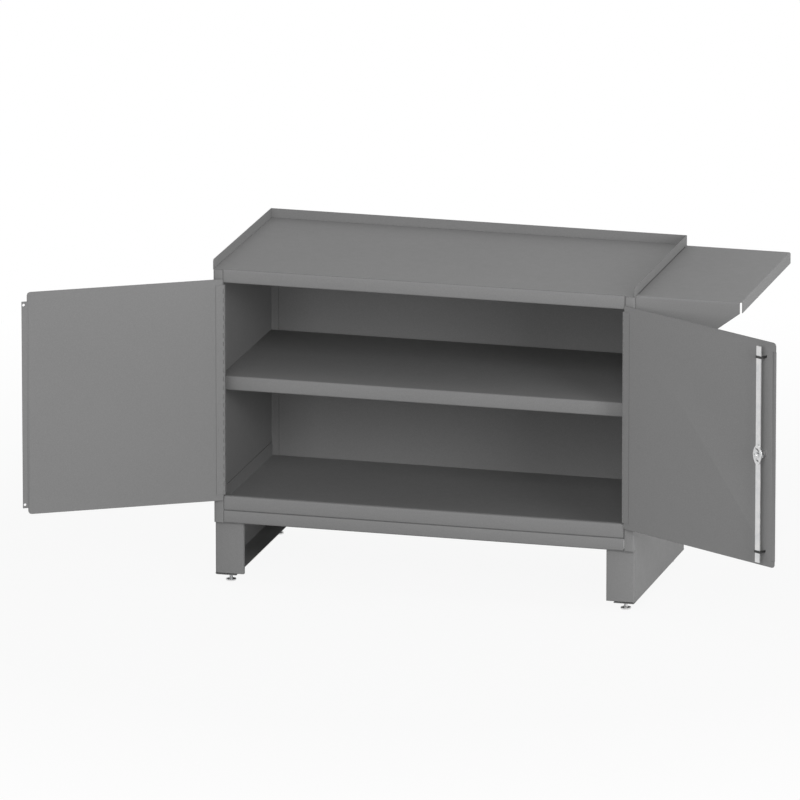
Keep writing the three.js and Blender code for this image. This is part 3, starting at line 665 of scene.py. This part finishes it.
@dataclass
class RodLock:
    """The three-point lock on the right door: handle, cam, boss, rods and their guides."""

    lever_top: float = 10.0 * MM
    lever_half_width: float = 10.0 * MM
    lever_tip_half_width: float = 7.0 * MM
    lever_depth: float = 9.0 * MM
    lever_end: float = 0.6 * MM
    lever_end_depth: float = 0.72
    lever_roundness: float = 2.0 / 3.4
    lever_rings: int = 49
    lever_sides: int = 32
    hub_neck: float = 9.3 * MM
    hub_collar: float = 11.0 * MM
    hub_face: float = -3.1 * MM
    hub_sides: int = 32
    spindle_radius: float = 4.4 * MM
    spindle_tip: float = 0.9 * MM
    thread_from: float = 24.6 * MM
    thread_pitch: float = 1.25 * MM
    thread_depth: float = 0.55 * MM
    nut_across: float = 13.8 * MM
    nut_clearance: float = 0.15 * MM
    strap_sheet: float = 2.0 * MM
    strap_width: float = 6.4 * MM
    strap_bend: float = 2.2 * MM
    strap_ease: float = 0.5 * MM
    rod_ease: float = 0.5 * MM
    cam_ease: float = 0.4 * MM
    boss_ease: float = 0.8 * MM
    boss_sharp: float = 50.0
    axes: LockFrame = field(default_factory=LockFrame)

    def build(self) -> None:
        """Shows the lock's pieces."""
        self.lever()
        self.hub()
        self.cam_nut()
        for end in ("upper", "lower"):
            show_eased(f"lock_rod_{end}", f"lock_rod_{end}_bar", ZINC, self.rod_ease)
            self.guide(end)
        show_eased("lock_cam", "lock_cam_plate", ZINC, self.cam_ease)
        show_eased("lock_boss", "lock_boss_ring", ZINC, self.boss_ease, self.boss_sharp)

    def lever(self) -> None:
        """The lever: rounded sections along a line that goes down.

        The half width follows a circle at the top, a straight taper and a circle at the tip, and the depth
        shrinks with the root of the half width over the taper's. Each section is a superellipse.
        """
        low, _ = self.axes.extent("lock_handle")
        tip = low[2]
        half_depth = self.lever_depth / 2.0
        wide, narrow = self.lever_half_width, self.lever_tip_half_width
        share = (1.0 - np.cos(np.linspace(0.0, np.pi, self.lever_rings))) / 2.0
        height = self.lever_top + (tip - self.lever_top) * share
        tip_centre = tip + narrow
        taper = np.interp(-height, [0.0, -tip_centre], [wide, narrow])
        top_arc = np.sqrt(np.clip(wide**2 - np.clip(height, 0.0, None) ** 2, 0.0, None))
        tip_arc = np.sqrt(np.clip(narrow**2 - np.clip(tip_centre - height, 0.0, None) ** 2, 0.0, None))
        half_width = np.where(height > 0.0, top_arc, np.where(height < tip_centre, tip_arc, taper))
        fullness = np.sqrt(np.clip(half_width / taper, 0.0, 1.0))
        depth = half_depth * (self.lever_end_depth + (1.0 - self.lever_end_depth) * fullness)
        half_width = np.maximum(half_width, self.lever_end)
        angle = np.linspace(0.0, 2.0 * np.pi, self.lever_sides, endpoint=False)
        across = np.sign(np.cos(angle)) * np.abs(np.cos(angle)) ** self.lever_roundness
        through = np.sign(np.sin(angle)) * np.abs(np.sin(angle)) ** self.lever_roundness
        x = half_width[:, None] * across
        y = low[1] + half_depth + depth[:, None] * through
        z = np.broadcast_to(height[:, None], x.shape)
        lever = self.axes.place(tube_of_rings(np.stack([x, y, z], axis=-1)))
        show_surface("lock_handle_lever", lever, CHROME, "handle", ("lock_handle",))

    def hub(self) -> None:
        """The hub and spindle, turned about the spindle's axis, with a thread on the inner end."""
        low, high = self.axes.extent("lock_handle")
        lever_inner, end = low[1] + self.lever_depth, high[1]
        neck, collar, face, spindle = self.hub_neck, self.hub_collar, self.hub_face, self.spindle_radius
        profile = np.array(
            [
                (neck - 1.2 * MM, lever_inner - 1.0 * MM),
                (neck, lever_inner),
                (neck, face - 7.0 * MM),
                (neck + 0.5 * MM, face - 5.2 * MM),
                (collar - 0.9 * MM, face - 4.4 * MM),
                (collar, face - 3.4 * MM),
                (collar, face - 0.4 * MM),
                (collar - 0.4 * MM, face),
                (spindle, face),
                (spindle, self.thread_from - 0.3 * MM),
            ]
        )
        thread = np.arange(self.thread_from, end - 0.8 * MM, self.thread_pitch / THREAD_STEPS)
        stem = np.full(len(thread), spindle)
        radius = np.concatenate([profile[:, 0], stem, [spindle - self.spindle_tip]])
        height = np.concatenate([profile[:, 1], thread, [end]])
        threaded = (height >= self.thread_from) & (height < end)
        hub = screw(radius, height, threaded, self.thread_pitch, self.thread_depth, self.hub_sides)
        show_surface("lock_handle_hub", self.axes.spun(hub), CHROME, "handle")

    def cam_nut(self) -> None:
        """The hexagon nut that holds the cam on the spindle."""
        low, high = self.axes.extent("lock_cam_nut")
        nut = hex_nut(self.nut_across, low[1], high[1], self.spindle_radius + self.nut_clearance)
        show_surface("lock_cam_nut_hexagon", self.axes.spun(nut), ZINC, "handle", ("lock_cam_nut",))

    def guide(self, end: str) -> None:
        """A strap over a rod: an eased rectangle carried along two legs, two quarter circles and a bar.

        Args:
            end: upper or lower.
        """
        node = f"rod_guide_{end}"
        low, high = self.axes.extent(node)
        half = self.strap_sheet / 2.0
        reach, bar, bend = high[0] - half, high[1] - half, self.strap_bend
        arc = np.linspace(0.0, np.pi / 2.0, 9)
        rising = np.array([[-reach, low[1]], [-reach, bar - bend - half]])
        turning = np.stack([-reach + bend - bend * np.cos(arc), bar - bend + bend * np.sin(arc)], axis=1)
        flank = np.concatenate([rising, turning])
        path = np.concatenate([flank, flank[::-1] * np.array([-1.0, 1.0])])
        along = np.gradient(path, axis=0)
        along /= np.linalg.norm(along, axis=1, keepdims=True)
        normal = np.stack([-along[:, 1], along[:, 0]], axis=1)
        wide, ease = self.strap_width / 2.0, self.strap_ease
        upper = [(half, wide - ease), (half - ease, wide), (ease - half, wide), (-half, wide - ease)]
        outline = np.concatenate([np.array(upper), -np.array(upper)])
        flat = path[:, None, :] + normal[:, None, :] * outline[None, :, :1]
        level = np.broadcast_to((low[2] + high[2]) / 2.0 + outline[None, :, 1:], (*flat.shape[:2], 1))
        strap = tube_of_rings(np.concatenate([flat, level], axis=2))
        show_surface(f"{node}_strap", self.axes.place(strap), BLACK, body_of(node), (node,))


@dataclass
class LevellingFeet:
    """The four screw feet and the nuts that carry them."""

    pad_radius: float = 15.0 * MM
    pad_height: float = 7.0 * MM
    pad_rim: float = 1.8 * MM
    stem_radius: float = 5.0 * MM
    stem_tip: float = 1.3 * MM
    thread_pitch: float = 1.5 * MM
    thread_depth: float = 0.75 * MM
    nut_across: float = 17.0 * MM
    nut_clearance: float = 0.2 * MM
    sides: int = 32

    def build(self) -> None:
        """Shows each foot with its nut."""
        for end in ("front", "rear"):
            for side in ("left", "right"):
                self.foot(f"foot_{end}_{side}")
                self.nut(f"foot_nut_{end}_{side}")

    def foot(self, node: str) -> None:
        """A turned pad with a rounded rim that rises to a threaded stem.

        The pad's rim is a quarter circle, its top a shallow cone, and the stem carries a thread.

        Args:
            node: the node of the foot.
        """
        low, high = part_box(node)
        pad, stem, rim = self.pad_radius, self.stem_radius, self.pad_rim
        arc = np.linspace(0.0, np.pi / 2.0, 6)
        rim_radius = pad - rim + rim * np.sin(arc)
        rim_height = rim - rim * np.cos(arc)
        top = np.array(
            [
                (pad, self.pad_height - 3.0 * MM),
                (pad - 0.7 * MM, self.pad_height - 2.0 * MM),
                (stem + 3.0 * MM, self.pad_height - 0.4 * MM),
                (stem + 1.0 * MM, self.pad_height + 0.2 * MM),
                (stem, self.pad_height + 1.4 * MM),
            ]
        )
        end = high.z - low.z
        thread = np.arange(self.pad_height + 2.0 * MM, end - 1.4 * MM, self.thread_pitch / THREAD_STEPS)
        radius = np.concatenate([rim_radius, top[:, 0], np.full(len(thread), stem), [stem - self.stem_tip]])
        height = np.concatenate([rim_height, top[:, 1], thread, [end]])
        threaded = (height >= thread[0]) & (height < end)
        foot = screw(radius, height, threaded, self.thread_pitch, self.thread_depth, self.sides)
        middle = np.array([(low.x + high.x) / 2.0, (low.y + high.y) / 2.0, low.z])
        show_surface(f"{node}_screw", foot.moved(np.eye(3), middle), ZINC, body_of(node), (node,))

    def nut(self, node: str) -> None:
        """The hexagon nut on the leg's flange.

        Args:
            node: the node of the nut.
        """
        low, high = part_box(node)
        middle = np.array([(low.x + high.x) / 2.0, (low.y + high.y) / 2.0, 0.0])
        nut = hex_nut(self.nut_across, low.z, high.z, self.stem_radius + self.nut_clearance)
        show_surface(f"{node}_hexagon", nut.moved(np.eye(3), middle), ZINC, body_of(node), (node,))


@dataclass
class Lamp:
    """An area lamp that faces a point."""

    name: str
    place: tuple[float, float, float]
    size: float
    power: float
    target: tuple[float, float, float] = (0.1, 0.0, 0.5)

    def build(self) -> None:
        """Adds the lamp to the scene."""
        data = bpy.data.lights.new(self.name, "AREA")
        data.shape = "SQUARE"
        data.size = self.size
        data.energy = self.power
        lamp = bpy.data.objects.new(self.name, data)
        lamp.location = self.place
        lamp.rotation_euler = (Vector(self.target) - Vector(self.place)).to_track_quat("-Z", "Y").to_euler()
        bpy.context.scene.collection.objects.link(lamp)


@dataclass
class Studio:
    """The white room: camera, pale floor, even sky and soft lamps."""

    eye: tuple[float, float, float] = (9.215816, -34.946494, 10.2099)
    yaw: float = 14.939404
    pitch: float = -14.979998
    lens: float = 598.734
    sensor: float = 36.0
    far: float = 400.0
    sky: float = 0.46
    floor_tone: float = 0.45
    floor_lift: tuple[float, float] = (0.92, 1.0)
    floor_fade: tuple[float, float] = (1.4, 3.2)
    floor_radius: float = 90.0
    floor_sides: int = 64
    lamps: tuple[Lamp, ...] = (
        Lamp("front_lamp", (1.70, -7.55, 5.14), 2.6, 185.0),
        Lamp("low_front_lamp", (-0.51, -8.71, 2.68), 3.0, 165.0),
        Lamp("right_front_lamp", (5.71, -5.41, 2.30), 2.6, 160.0),
        Lamp("top_lamp", (0.10, -0.70, 8.47), 4.0, 80.0),
        Lamp("right_lamp", (6.04, -0.21, 1.34), 2.5, 125.0),
        Lamp("back_lamp", (1.98, 7.00, 3.88), 4.0, 60.0),
    )

    def build(self) -> None:
        """Makes the camera, floor, sky and lamps."""
        bpy.context.scene.view_settings.view_transform = "Standard"
        self.camera()
        self.floor()
        self.world()
        for lamp in self.lamps:
            lamp.build()

    def camera(self) -> None:
        """A long lens far off, turned to the left and down."""
        data = bpy.data.cameras.new("camera")
        data.lens = self.lens
        data.sensor_width = self.sensor
        data.clip_end = self.far
        camera = bpy.data.objects.new("camera", data)
        yaw, pitch = math.radians(self.yaw), math.radians(self.pitch)
        ahead = Vector((-math.sin(yaw) * math.cos(pitch), math.cos(yaw) * math.cos(pitch), math.sin(pitch)))
        camera.location = self.eye
        camera.rotation_euler = ahead.to_track_quat("-Z", "Y").to_euler()
        bpy.context.scene.collection.objects.link(camera)
        bpy.context.scene.camera = camera

    def seen(self, graph: NodeGraph) -> bpy.types.NodeSocket:
        """Returns 1 for the rays that look at the background: camera, glossy and transmission rays."""
        path = graph.add("ShaderNodeLightPath")
        direct = graph.math("MAXIMUM", path.outputs["Is Camera Ray"], path.outputs["Is Glossy Ray"])
        return graph.math("MAXIMUM", direct, path.outputs["Is Transmission Ray"])

    def floor(self) -> None:
        """A round floor that keeps the bench's shadow near its middle and looks white further out."""
        sides = self.floor_sides
        angle = np.linspace(0.0, 2.0 * np.pi, sides, endpoint=False)
        rim = np.stack([np.cos(angle), np.sin(angle), np.zeros(sides)], axis=1) * self.floor_radius
        mesh = bpy.data.meshes.new("floor")
        mesh.from_pydata(rim.tolist(), [], [list(range(sides))])
        material = bpy.data.materials.new("pale_floor")
        material.use_nodes = True
        graph = NodeGraph(material.node_tree)
        paper = graph.add("ShaderNodeBsdfDiffuse", Color=grey(self.floor_tone))
        glow = graph.add("ShaderNodeEmission", Color=grey(1.0), Strength=1.0)
        reach = graph.add("ShaderNodeVectorMath")
        reach.operation = "LENGTH"
        graph.feed(reach.inputs[0], graph.place())
        white = graph.between(reach.outputs["Value"], *self.floor_fade, *self.floor_lift)
        lift = graph.math("MULTIPLY", self.seen(graph), white)
        both = graph.add("ShaderNodeMixShader", Fac=lift)
        graph.feed(both.inputs[1], paper.outputs[0])
        graph.feed(both.inputs[2], glow.outputs[0])
        output = graph.add("ShaderNodeOutputMaterial")
        graph.feed(output.inputs["Surface"], both.outputs[0])
        mesh.materials.append(material)
        floor = bpy.data.objects.new("floor", mesh)
        bpy.context.scene.collection.objects.link(floor)

    def world(self) -> None:
        """An even sky for light, white where it is looked at."""
        world = bpy.data.worlds.new("white_room")
        bpy.context.scene.world = world
        world.use_nodes = True
        graph = NodeGraph(world.node_tree)
        strength = graph.between(self.seen(graph), 0.0, 1.0, self.sky, 1.0)
        sky = graph.add("ShaderNodeBackground", Color=grey(1.0), Strength=strength)
        output = graph.add("ShaderNodeOutputWorld")
        graph.feed(output.inputs["Surface"], sky.outputs[0])


def main() -> None:
    """Builds the studio and the bench."""
    logging.basicConfig(level=logging.INFO, format="%(name)s: %(message)s")
    Studio().build()
    for assembly in (Carcass(), Doors(), RodLock(), LevellingFeet()):
        assembly.build()


if __name__ == "__main__":
    main()
